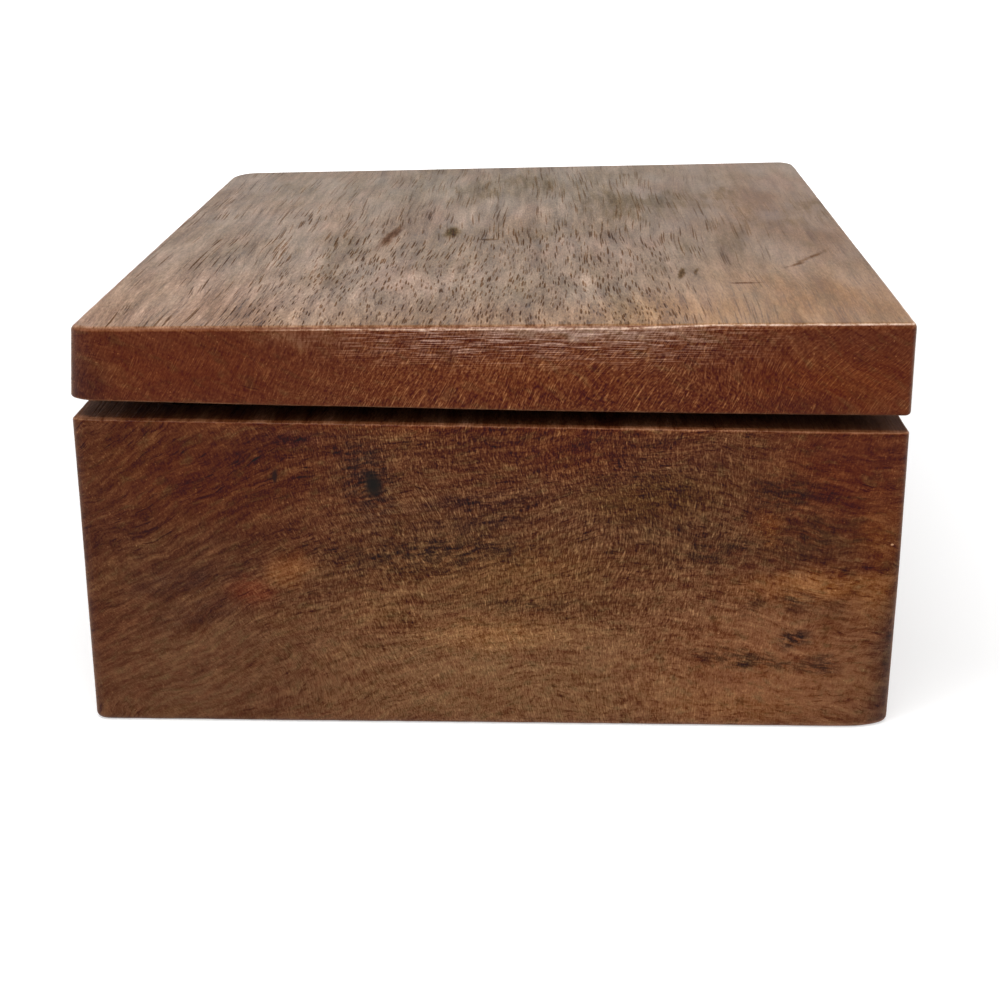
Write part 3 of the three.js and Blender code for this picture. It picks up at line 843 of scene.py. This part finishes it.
class Timber(Tree):
    """Oiled hardwood through and through. The growth rings lie round a pith far below the box, the pores
    run from front to back, and what a face shows of them depends on how it is cut. Colours are mixed as
    the eye sees them and turned to light at the end."""

    def __init__(self, block):
        self.block = block
        self.finish = bpy.context.scene.wooden_box_wood
        self.material = bpy.data.materials.new(block["name"])
        super().__init__(self.material)
        self.place = millimetres(self)
        self.x, self.y, self.z = self.parts(self.place)
        self.normal = self.parts(self.coordinates("Normal"))
        self.end_grain = self.ramp(self.size(self.normal[1]), *SQUARE_CUT)
        self.long_grain = self.minus(1.0, self.end_grain)
        self.outline = self.wandering(self.place, self.place, OUTLINE_DRIFT)
        self.top_outline = self.wandering(self.place, self.place, TOP_OUTLINE_DRIFT)

        # The block's own space: bent slowly for its fibres, and also finely for its rings
        self.block_place = self.vector("ADD", self.place, block["shift"])
        self.bent = self.wandering(self.block_place, self.block_place, FIBRE_BEND)
        self.wavy = self.wandering(self.bent, self.block_place, RING_WAVE)
        self.fibres = log_place(self, self.bent, block["pith"])
        self.rings = log_place(self, self.wavy, block["pith"])

        # The pores' space: it sways as they run, and dives towards the middle of the front
        sway = self.vector("MULTIPLY", self.wander(self.block_place, *PORE_SWAY), SWAY_AXES)
        across, along, down = self.parts(self.vector("ADD", self.block_place, sway))
        forwards = self.times(self.minus(DIVE_START, along), 1 / DIVE_LENGTH, clamp=True)
        self.dive = self.times(self.maths("POWER", forwards, 2.0), self.beside(across, *DIVE_MIDDLE))
        self.across, self.along = across, along
        self.diving = self.joined(across, along, self.plus(down, self.times(self.dive, DIVE_DEPTH)))

    def wandering(self, start, place, drift):
        """A space that wanders from another by its drift at a place."""
        return self.vector("ADD", start, self.wander(place, *drift))

    def varied(self, colours, place, patches, strength=1.0):
        """The colours, drawn towards a second colour in some patches and towards a third in others."""
        for sizes, low, high, force in patches:
            grain = self.noise(place, sizes, PATCH_DETAIL, LAYER_ROUGHNESS)
            for tint, step in ((low, LOW_NOISE), (high, HIGH_NOISE)):
                drawn = self.ramp(grain, *step, 0.0, force * strength)
                colours = self.mix(drawn, colours, seen(getattr(self.finish, tint)))
        return colours

    def end_colours(self):
        """Zones, patches that follow the rings, and marks broken up by the rings."""
        block = self.block
        colours = tinted(self, seen(block["end"]), self.outline, block["front zones"], "FRONT")
        colours = self.varied(colours, self.rings, END_PATCHES, block["patchy"])
        broken = self.pattern(self.rings, BROKEN_RINGS)
        return tinted(self, colours, self.outline, block["front marks"], "FRONT", broken)

    def long_colours(self):
        """Brown wood, lighter and greyer on the lid's top as painted sheen, with patches and with marks
        broken up by swirls.
        """
        block = self.block
        upward = self.ramp(self.normal[2], *FACING_UP)
        top_with_painted_sheen = tinted(self, seen(self.finish.top), self.outline, block["top zones"], "TOP")
        colours = self.mix(self.times(upward, block["top_with_painted_sheen"]), seen(self.finish.brown), top_with_painted_sheen)
        colours = self.varied(colours, self.bent, LONG_PATCHES)
        swirls = self.pattern(self.bent, SWIRLS)
        return tinted(self, colours, self.top_outline, block["top marks"], "TOP", swirls)

    def end_tone(self):
        """Fibres, light flecks and dark dashes, livelier in the middle than at the sides."""
        block = self.block
        across = self.parts(self.bent)[0]
        flecks = self.times(
            self.pattern(self.fibres, block["flecks"]),
            self.ramp(self.z, *FLECKS_BELOW_TOP),
            self.ramp(self.z, *FLECKS_ABOVE_FOOT),
        )
        lively = self.beside(across, *block["lively"], block["dull"])
        tone = self.times(self.plus(layered(self, self.fibres, FIBRES), flecks), lively)
        tone = self.minus(tone, self.times(self.ramp(self.z, *SINK_UPWARDS), block["sink"]))
        tone = self.plus(tone, self.times(layered(self, self.rings, RINGS), block["banded"]))
        zones = self.times(self.pattern(self.wavy, DASHED_ZONES), block["banded"])
        tone = self.plus(tone, self.times(self.pattern(self.rings, DASHES), zones))
        blotches = self.times(
            self.pattern(self.wavy, block["blotches"]),
            self.ramp(self.z, *BLOTCHES_DOWNWARDS),
            self.ramp(across, *BLOTCHES_RIGHTWARDS),
        )
        tone = self.plus(self.plus(tone, blotches), self.pattern(self.block_place, SPECKS))
        return self.times(tone, self.ramp(self.z, *TONE_ABOVE_FOOT))

    def pores(self):
        """Open pores: dashes where the grain lies flat, and dots where it dives."""
        across, along = self.across, self.along
        inputs = {"Vector": self.vector("DIVIDE", self.diving, PORE_CELLS), "Scale": 1.0}
        cells = self.add("ShaderNodeTexVoronoi", inputs, feature="F1").outputs
        wide = self.ramp(self.parts(cells["Color"])[0], *PORE_WIDTHS)
        wide = self.plus(wide, self.ramp(across, *WIDER_AT_LEFT))
        fullness = self.ramp(self.parts(cells["Color"])[1], *PORE_FULLNESS)
        inside = self.times(self.minus(wide, cells["Distance"]), PORE_EDGE, clamp=True)
        sparse = self.pattern(self.bent, SPARSE)
        sparse = self.maths("MAXIMUM", sparse, self.times(self.dive, DENSE_DIVE), clamp=True)
        place = self.times(self.ramp(along, *FULLER_FORWARDS), self.ramp(across, *FULLER_LEFTWARDS))
        return self.times(self.times(inside, fullness), self.times(sparse, place))

    def long_tone(self):
        """Fibres, figure and bands, livelier towards the front and calmer at the right."""
        forwards = self.ramp(self.along, *LIVELIER_FORWARDS)
        rightwards = self.ramp(self.across, *CALMER_AT_RIGHT)
        return self.times(layered(self, self.diving, LONG_GRAIN), forwards, rightwards)

    def painted_highlight_line(self, colours):
        """A painted highlight: the pale line along the lid's front edge, where its rounding catches the
        light.
        """
        lean = self.ramp(self.x, *LINE_LEAN)
        line = self.ramp(self.size(self.minus(self.normal[2], lean)), *LINE_WIDTH)
        line = self.times(line, self.ramp(self.x, *LINE_START), self.ramp(self.y, *LINE_FRONT))
        # Breaks in the painted highlight
        worn = self.pattern(self.place, HIGHLIGHT_BREAKS)
        return self.mix(self.times(line, worn), colours, seen(self.finish.worn))

    def scratches(self):
        """Sanding scratches along the lid's front, near its top edge."""
        return self.times(
            self.pattern(self.place, SCRATCHES),
            self.ramp(self.z, *SCRATCHES_UPWARDS),
            self.beside(self.x, *SCRATCHES_MIDDLE),
            self.end_grain,
            self.ramp(self.y, *SCRATCHES_FRONT),
        )

    def light(self, colours, tone):
        """The toned colours, turned to light."""
        spots = self.block["front spots"]
        lighter, darker = self.maths("MAXIMUM", tone, 0.0), self.maths("MINIMUM", tone, 0.0)
        green = self.plus(self.times(lighter, GREEN_IN_LIGHT), darker)
        blue = self.plus(self.times(lighter, self.ramp(self.end_grain, *BLUE_IN_LIGHT)), darker)
        toned = self.vector("ADD", colours, self.joined(tone, green, blue))
        if spots:
            spotted = tinted(self, toned, self.top_outline, spots, "FRONT")
            toned = self.mix(self.end_grain, toned, spotted)
        toned = self.vector("MAXIMUM", toned, DARKEST)
        return self.add("ShaderNodeGamma", {"Color": toned, "Gamma": EYE}).outputs[0]

    def rough(self, long_colours):
        """The oil's roughness: patchy, and duller where the long grain is dark."""
        middle = self.finish.roughness
        gloss = GLOSS_PATCHES._replace(low=middle - GLOSS_SPREAD, high=middle + GLOSS_SPREAD)
        dark = self.ramp(self.parts(long_colours)[0], *DULL_WHERE_DARK)
        return self.plus(self.pattern(self.place, gloss), self.times(dark, self.long_grain), clamp=True)

    def surface(self):
        """Joins the long grain to the end grain, lightens the edges as rubbed wear and painted highlight, and
        gives the surface its gloss.
        """
        block, finish = self.block, self.finish
        pores = self.pores()
        filled = self.times(pores, self.ramp(self.across, *PORE_DARKNESS))
        long_colours = self.mix(filled, self.long_colours(), seen(finish.pore))

        # Painted shade: the sawn faces beside the gap are made darker and calmer than the rest, for the shade
        # between lid and body
        level = self.ramp(self.size(self.normal[2]), *GAP_SHADE_LEVEL)
        gap_shade = self.times(level, self.ramp(self.z, *block["gap"]))
        long_colours = self.mix(gap_shade, long_colours, seen(finish.rim))
        calm = self.minus(1.0, self.times(gap_shade, CALMER_IN_GAP_SHADE))
        tone = self.blend(self.end_grain, self.times(self.long_tone(), calm), self.end_tone())
        relief = self.minus(tone, self.times(pores, self.long_grain))
        colours = self.mix(self.end_grain, long_colours, self.end_colours())

        # Rubbed edges: lighter as worn finish and as a painted highlight along the arrises
        arris = self.add("ShaderNodeAttribute", attribute_name="arris").outputs["Fac"]
        across = self.ramp(self.x, *RUBBED_AND_HIGHLIT_ACROSS, *block["rubbed"])
        rubbed = self.times(self.pattern(self.place, RUBBED_AND_HIGHLIT_PATCHES), arris, across)
        colours = self.mix(rubbed, colours, seen(finish.rubbed))
        if block["scratched"]:
            scratches = self.scratches()
            colours = self.painted_highlight_line(colours)
            # Painted glints: the scratches are made pale where they catch the light from above
            colours = self.mix(self.times(scratches, SCRATCH_GLINT_STRENGTH), colours, seen(finish.scratch))
            relief = self.plus(relief, self.times(scratches, SCRATCH_DEPTH))

        inputs = {
            "Base Color": self.light(colours, tone),
            "Roughness": self.rough(long_colours),
            "IOR": finish.refraction,
            "Sheen Weight": block["haze"],
            "Sheen Roughness": HAZE_ROUGHNESS,
            "Sheen Tint": HAZE_TINT,
            "Normal": self.bump(relief, *RELIEF),
        }
        self.end(self.add("ShaderNodeBsdfPrincipled", inputs))


def wood(block):
    """A material of oiled hardwood for the body or the lid."""
    timber = Timber(block)
    timber.surface()
    return timber.material


def brass(name, tarnished):
    """Rubbed brass with tarnish in patches and fine scratches."""
    finish = bpy.context.scene.wooden_box_brass
    material = bpy.data.materials.new(name)
    tree = Tree(material)
    place = millimetres(tree)
    patches = tree.pattern(place, TARNISH)
    rough = tree.ramp(patches, 0.0, 1.0, finish.roughness, finish.roughness + TARNISH_DULLNESS)
    dulled = tree.times(patches, tarnished)
    inputs = {
        "Base Color": tree.mix(dulled, tuple(finish.bright), tuple(finish.tarnish)),
        "Roughness": rough,
        "Metallic": 1.0,
        "Normal": tree.bump(tree.noise(place, *BRASS_SCRATCHES), *BRASS_RELIEF),
    }
    tree.end(tree.add("ShaderNodeBsdfPrincipled", inputs))
    return material


# Unevenness of the hand-planed faces: its depth and its seed
BODY_RIPPLE = (0.09 * MM, 3.0)
LID_RIPPLE = (0.10 * MM, 11.0)

# How fast the body's worn corner grows towards the foot
WEAR_POWER = 1.5

# The lid's underside bows towards the front: from here over this length, by a curve across the width, all
# in millimetres
BOW_START = 40
BOW_LENGTH = 129
BOW_CURVE = (-0.30, -0.0027, 6.7e-5)

# Softening of the hinges' edges
PIN_EASE = 0.08 * MM
LEAF_EASE = 0.12 * MM
SCREW_EASE = 0.05 * MM

# Share of the tarnished patches on the leaves, and on the pins and screws
LEAF_TARNISH = 0.45
SCREW_TARNISH = 0.25


class WOODEN_BOX_OT_body(bpy.types.Operator):
    """Make the body, hollowed from one block"""

    bl_idname = "wooden_box.body"
    bl_label = "Body"

    def execute(self, context):
        sizes = context.scene.wooden_box_body
        low, high = BODY_LOW.copy(), BODY_HIGH.copy()
        rim = high.z - sizes.rim_fall / 2
        high.z = rim
        width = high.x - low.x
        mesh = slab(low, high)

        # The cavity
        top = max(mesh.faces, key=lambda face: face.calc_center_median().z)
        bmesh.ops.inset_region(mesh, faces=[top], thickness=sizes.wall, use_even_offset=True)
        sunk = bmesh.ops.extrude_face_region(mesh, geom=[top])["geom"]
        bmesh.ops.delete(mesh, geom=[top], context="FACES")
        floor = [part for part in sunk if isinstance(part, bmesh.types.BMVert)]
        bmesh.ops.translate(mesh, vec=(0, 0, sizes.floor - rim), verts=floor)
        inner_x, inner_y = high.x - sizes.wall, high.y - sizes.wall

        def inside(co):
            return abs(co.x) < inner_x + HAIR and abs(co.y) < inner_y + HAIR

        def is_upright(edge):
            return abs(edge.verts[0].co.z - edge.verts[1].co.z) > sizes.wall

        uprights = [edge for edge in edges_where(mesh, inside) if is_upright(edge)]
        round_edges(mesh, uprights, sizes.cavity_corner, segments=8)
        floor_loop = edges_where(mesh, lambda co: inside(co) and abs(co.z - sizes.floor) < HAIR)
        round_edges(mesh, floor_loop, sizes.cavity_fillet, segments=6)
        rim_inner = edges_where(mesh, lambda co: inside(co) and abs(co.z - rim) < HAIR)
        round_arris(mesh, rim_inner, sizes.rim_ease, segments=3)

        # The outside's upright corners
        round_corner(mesh, low.x, low.y, sizes.front_left_across, sizes.front_left_deep)
        round_corner(mesh, low.x, high.y, sizes.corner, sizes.corner)
        round_corner(mesh, high.x, high.y, sizes.corner, sizes.corner)
        round_corner(mesh, high.x, low.y, sizes.worn_across, sizes.worn_across, segments=12)
        cut_grid(mesh, 2, low, high, sizes.cell)
        self.wear_corner(mesh, sizes, high.x, low.y)

        # The foot and the rim
        foot_loop = edges_where(mesh, lambda co: co.z < HAIR)
        round_arris(mesh, beside_a_wall(foot_loop), sizes.foot_round, segments=5)
        rim_outer = edges_where(mesh, lambda co: not inside(co) and abs(co.z - rim) < HAIR)
        round_arris(mesh, beside_a_wall(rim_outer), sizes.rim_ease, segments=3)
        cut_grid(mesh, 0, low, high, sizes.cell)
        cut_grid(mesh, 1, low, high, sizes.cell)
        note_arrises(mesh)

        # The slanting rim
        for vertex in mesh.verts:
            vertex.co.z *= 1 - vertex.co.x / width * sizes.rim_fall / rim
        ripple(mesh, *BODY_RIPPLE, held=lambda co: 0.0 if co.z < HAIR else 1.0)
        material = wood(
            {
                "name": "Oiled wood of the body",
                "shift": (0.0, 0.0, 0.0),
                "pith": BODY_PITH,
                "end": context.scene.wooden_box_wood.body_end,
                "front zones": BODY_ZONES,
                "front marks": BODY_MARKS,
                "front spots": BODY_SPOTS,
                "top_with_painted_sheen": 0.0,
                "top zones": (),
                "top marks": (),
                "lively": (8.0, 66.0, 22.0),
                "dull": 0.25,
                "patchy": 1.0,
                "banded": 1.0,
                "sink": 0.026,
                "flecks": Pattern((0.30, 8.0, 1.5), 1.0, 0.5, 0.56, 0.72, 0.0, 0.15),
                "blotches": Pattern((2.6, 12.0, 1.6), 3.0, 0.65, 0.48, 0.68, 0.0, -0.09),
                "gap": (56.0, 58.0, 0.0, 0.75),
                "rubbed": (0.1, 0.6),
                "scratched": False,
                "haze": 0.0,
            }
        )
        finished(mesh, "carved_body", BODY, ["body"], material)
        return {"FINISHED"}

    @staticmethod
    def wear_corner(mesh, sizes, x, y):
        """Draws the wide rounding of the front right corner in, less near the foot and more above."""
        full = sizes.worn_across
        for vertex in mesh.verts:
            right, front = vertex.co.x - (x - full), (y + full) - vertex.co.y
            if right < -NEAR or front < -NEAR:
                continue
            angle = math.atan2(front, right)
            wear = max(0.0, 1 - vertex.co.z / sizes.worn_height) ** WEAR_POWER
            across = sizes.corner + (sizes.worn_across - sizes.corner) * wear
            deep = sizes.corner + (sizes.worn_deep - sizes.corner) * wear
            if math.hypot(right, front) > full - HAIR:
                vertex.co.x = x - across + across * math.cos(angle)
                vertex.co.y = y + deep - deep * math.sin(angle)


class WOODEN_BOX_OT_lid(bpy.types.Operator):
    """Make the lid, one thick slab"""

    bl_idname = "wooden_box.lid"
    bl_label = "Lid"

    def execute(self, context):
        sizes = context.scene.wooden_box_lid
        body = context.scene.wooden_box_body
        width = BODY_HIGH.x - BODY_LOW.x
        depth = BODY_HIGH.y - BODY_LOW.y
        rim = BODY_HIGH.z - body.rim_fall / 2
        low = Vector((LID_LOW.x, LID_LOW.y, 0.0))
        high = Vector((LID_HIGH.x, LID_HIGH.y, sizes.thickness))
        mesh = slab(low, high)
        round_corner(mesh, low.x, low.y, sizes.front_left_across, sizes.front_left_deep, segments=10)
        round_corner(mesh, high.x, low.y, sizes.front_right_across, sizes.front_right_deep, segments=6)
        round_corner(mesh, low.x, high.y, sizes.back_left_across, sizes.back_left_deep, segments=12)
        round_corner(mesh, high.x, high.y, sizes.back_right_across, sizes.back_right_deep, segments=10)
        under_loop = edges_where(mesh, lambda co: co.z < HAIR)
        round_arris(mesh, under_loop, sizes.under_ease, segments=4)
        top_loop = edges_where(mesh, lambda co: co.z > sizes.thickness - HAIR)
        round_arris(mesh, top_loop, sizes.top_round, segments=6)
        for axis in (2, 0, 1):
            cut_grid(mesh, axis, low, high, sizes.cell)
        note_arrises(mesh)

        # From a level slab to the slanting cut below and the twisted top above
        for vertex in mesh.verts:
            x, y, z = vertex.co
            up = z / sizes.thickness
            deep = (y - BODY_LOW.y) / depth
            under = rim - x / width * body.rim_fall + sizes.seam_gap + self.front_bow(x, y)
            rise = sizes.rise_front + (sizes.rise_back - sizes.rise_front) * deep
            over = rim + sizes.seam_gap + sizes.thickness + x / width * rise
            vertex.co.z = under + (over - under) * up
            vertex.co.x = high.x - (high.x - x) * (1 - sizes.lean_left * up / width)
        ripple(mesh, *LID_RIPPLE)
        finish = context.scene.wooden_box_wood
        material = wood(
            {
                "name": "Oiled wood of the lid",
                "shift": (13.0, 0.0, 41.0),
                "pith": LID_PITH,
                "end": finish.lid_end,
                "front zones": LID_FRONT_ZONES,
                "front marks": (),
                "front spots": (),
                "top_with_painted_sheen": 1.0,
                "top zones": LID_TOP_ZONES,
                "top marks": LID_TOP_MARKS,
                "lively": (26.0, 60.0, 18.0),
                "dull": 0.45,
                "patchy": 0.7,
                "banded": 0.38,
                "sink": 0.032,
                "flecks": Pattern((0.14, 8.0, 3.0), 1.0, 0.5, 0.56, 0.72, 0.0, 0.19),
                "blotches": Pattern((2.6, 12.0, 1.6), 3.0, 0.65, 0.48, 0.68, 0.0, -0.04),
                "gap": (68.0, 66.0, 0.0, 0.75),
                "rubbed": (0.6, 0.2),
                "scratched": True,
                "haze": finish.haze,
            }
        )
        finished(mesh, "slab_lid", LID, ["lid"], material)
        return {"FINISHED"}

    @staticmethod
    def front_bow(x, y):
        """How far the underside bows from the plane of the cut, where the hand saw came in at the front."""
        towards_front = min(1.0, max(0.0, (BOW_START * MM - y) / (BOW_LENGTH * MM)))
        across = x / MM
        level, slope, bend = BOW_CURVE
        return towards_front * (level + slope * across + bend * across**2) * MM


class WOODEN_BOX_OT_hinges(bpy.types.Operator):
    """Make the hinges' leaves, pins and screws, with their sharp edges softened"""

    bl_idname = "wooden_box.hinges"
    bl_label = "Hinges"

    def execute(self, context):
        plate = brass("Rubbed brass", LEAF_TARNISH)
        head = brass("Bright brass", SCREW_TARNISH)
        for hinge in HINGES:
            soften(f"{hinge}_pin", head, PIN_EASE)
            for leaf in LEAVES:
                soften(f"{hinge}_{leaf}_leaf", plate, LEAF_EASE)
                for i in range(SCREWS_PER_LEAF):
                    soften(f"{hinge}_{leaf}_screw_{i + 1}", head, SCREW_EASE)
        return {"FINISHED"}


def soften(node, material, radius):
    """A merged copy of a node's mesh with its sharp edges rounded, in the node's place."""
    mesh = bmesh.new()
    mesh.from_mesh(frame["nodes"][node].data)
    bmesh.ops.remove_doubles(mesh, verts=mesh.verts, dist=WELD)
    bmesh.ops.dissolve_limit(mesh, angle_limit=FLAT_ANGLE, verts=mesh.verts, edges=mesh.edges)
    sharp = [edge for edge in mesh.edges if edge.is_manifold and edge.calc_face_angle() > SHARP_ANGLE]
    round_edges(mesh, sharp, radius, segments=2, clamp=True)
    finished(mesh, f"brass_{node}", frame["nodes"][node]["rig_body"], [node], material)


# Studio

# Width of the camera's sensor in millimetres, and what it sees between, in metres
SENSOR = 36
CLIP = (0.01, 50)

# How far forwards a reflection looks where the dark side of the room gives way to the white one
BRIGHT_AHEAD = (-0.35, 0.15)

# The table: half its width in metres, its dullness, and how it turns to pure white away from the box
TABLE_SIZE = 4
TABLE_ROUGHNESS = 0.9
TABLE_SPECULAR = 0.1
TABLE_LIFT = (0.15, 0.6, 0.5, 1.0)
WHITE = (1.0, 1.0, 1.0, 1.0)

# Large soft lamps that look at the middle of the box: name, place, width and height in metres, and power
LAMPS = (
    ("Lamp over the front", (-0.10, -0.45, 0.95), (0.7, 0.16), 7.0),
    ("Lamp at the left", (-0.95, -0.65, 0.45), (0.6, 0.6), 2.8),
    ("Lamp at the right", (0.95, -0.55, 0.45), (0.6, 0.6), 2.4),
)
LAMP_AIM = Vector((0.0, 0.0, 0.04))


class WOODEN_BOX_OT_studio(bpy.types.Operator):
    """Set up the camera, the white room, the table and the soft lamps"""

    bl_idname = "wooden_box.studio"
    bl_label = "Studio"

    def execute(self, context):
        studio = context.scene.wooden_box_studio
        self.camera(context, studio)
        self.room(context, studio)
        self.table(studio)
        self.lamps(studio)
        context.scene.view_settings.view_transform = "Standard"
        return {"FINISHED"}

    @staticmethod
    def camera(context, studio):
        """A camera that stands and looks as the photograph's did."""
        turn, tilt, roll = studio.turn, studio.tilt, studio.roll
        flat = math.cos(tilt)
        ahead = Vector((math.sin(turn) * flat, math.cos(turn) * flat, -math.sin(tilt)))
        level = Vector((math.cos(turn), -math.sin(turn), 0.0))
        below = ahead.cross(level)
        right = math.cos(roll) * level + math.sin(roll) * below
        down = math.cos(roll) * below - math.sin(roll) * level
        data = bpy.data.cameras.new("Camera")
        data.sensor_width = SENSOR
        data.lens = studio.lens
        data.shift_y = studio.shift
        data.clip_start, data.clip_end = CLIP
        camera = in_scene("Camera", data)
        turned = Matrix((right, -down, -ahead)).transposed().to_4x4()
        camera.matrix_world = Matrix.Translation(studio.place) @ turned
        context.scene.camera = camera

    @staticmethod
    def room(context, studio):
        """A white room: pure white to the camera and in reflections, and softer as a light."""
        world = bpy.data.worlds.new("White room")
        context.scene.world = world
        tree = Tree(world)
        path = tree.add("ShaderNodeLightPath").outputs
        ahead = tree.parts(tree.coordinates("Generated"))[1]
        mirrored = tree.ramp(ahead, *BRIGHT_AHEAD, studio.dark_side, 1.0)
        mirrored = tree.maths("MAXIMUM", mirrored, path["Is Camera Ray"])
        strength = tree.blend(tree.shown(path), studio.sky, mirrored)
        background = tree.add("ShaderNodeBackground", {"Color": WHITE, "Strength": strength})
        tree.end(background, "ShaderNodeOutputWorld")

    @staticmethod
    def table(studio):
        """A plain pale table top that fades into the white room for the camera and keeps the box's shadow."""
        material = bpy.data.materials.new("Pale table")
        tree = Tree(material)
        path = tree.add("ShaderNodeLightPath").outputs
        away = tree.distance(tree.coordinates("Object"))
        inputs = {
            "Base Color": (*studio.floor, 1.0),
            "Roughness": TABLE_ROUGHNESS,
            "Specular IOR Level": TABLE_SPECULAR,
            "Emission Color": WHITE,
            "Emission Strength": tree.times(tree.shown(path), tree.ramp(away, *TABLE_LIFT)),
        }
        tree.end(tree.add("ShaderNodeBsdfPrincipled", inputs))
        mesh = bmesh.new()
        bmesh.ops.create_grid(mesh, x_segments=1, y_segments=1, size=TABLE_SIZE)
        in_scene("table", as_mesh(mesh, "table", material))

    @staticmethod
    def lamps(studio):
        """The soft lamps, each turned to the box."""
        for name, place, (width, height), power in LAMPS[: studio.lamps]:
            data = bpy.data.lights.new(name, "AREA")
            data.shape = "RECTANGLE"
            data.size, data.size_y = width, height
            data.energy = power
            lamp = in_scene(name, data)
            lamp.location = place
            lamp.rotation_euler = (LAMP_AIM - Vector(place)).to_track_quat("-Z", "Y").to_euler()


class WOODEN_BOX_PT_panel(bpy.types.Panel):
    """Lists the pieces of the box and their settings"""

    bl_label = "Wooden Box"
    bl_idname = "WOODEN_BOX_PT_panel"
    bl_space_type = "VIEW_3D"
    bl_region_type = "UI"
    bl_category = "Wooden Box"

    def draw(self, context):
        for operator in STEPS:
            self.layout.operator(operator.bl_idname)
        for name, group in SETTINGS.items():
            box = self.layout.box()
            box.label(text=group.__doc__.rstrip("."))
            for key in group.__annotations__:
                box.prop(getattr(context.scene, name), key)


STEPS = (WOODEN_BOX_OT_body, WOODEN_BOX_OT_lid, WOODEN_BOX_OT_hinges, WOODEN_BOX_OT_studio)
CLASSES = (*SETTINGS.values(), *STEPS, WOODEN_BOX_PT_panel)


def register():
    for item in CLASSES:
        bpy.utils.register_class(item)
    for name, group in SETTINGS.items():
        setattr(bpy.types.Scene, name, PointerProperty(type=group))


def unregister():
    for name in SETTINGS:
        delattr(bpy.types.Scene, name)
    for item in reversed(CLASSES):
        bpy.utils.unregister_class(item)


def main():
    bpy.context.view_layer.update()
    register()
    bpy.ops.wooden_box.studio()
    bpy.ops.wooden_box.body()
    bpy.ops.wooden_box.lid()
    bpy.ops.wooden_box.hinges()


if __name__ == "__main__":
    main()
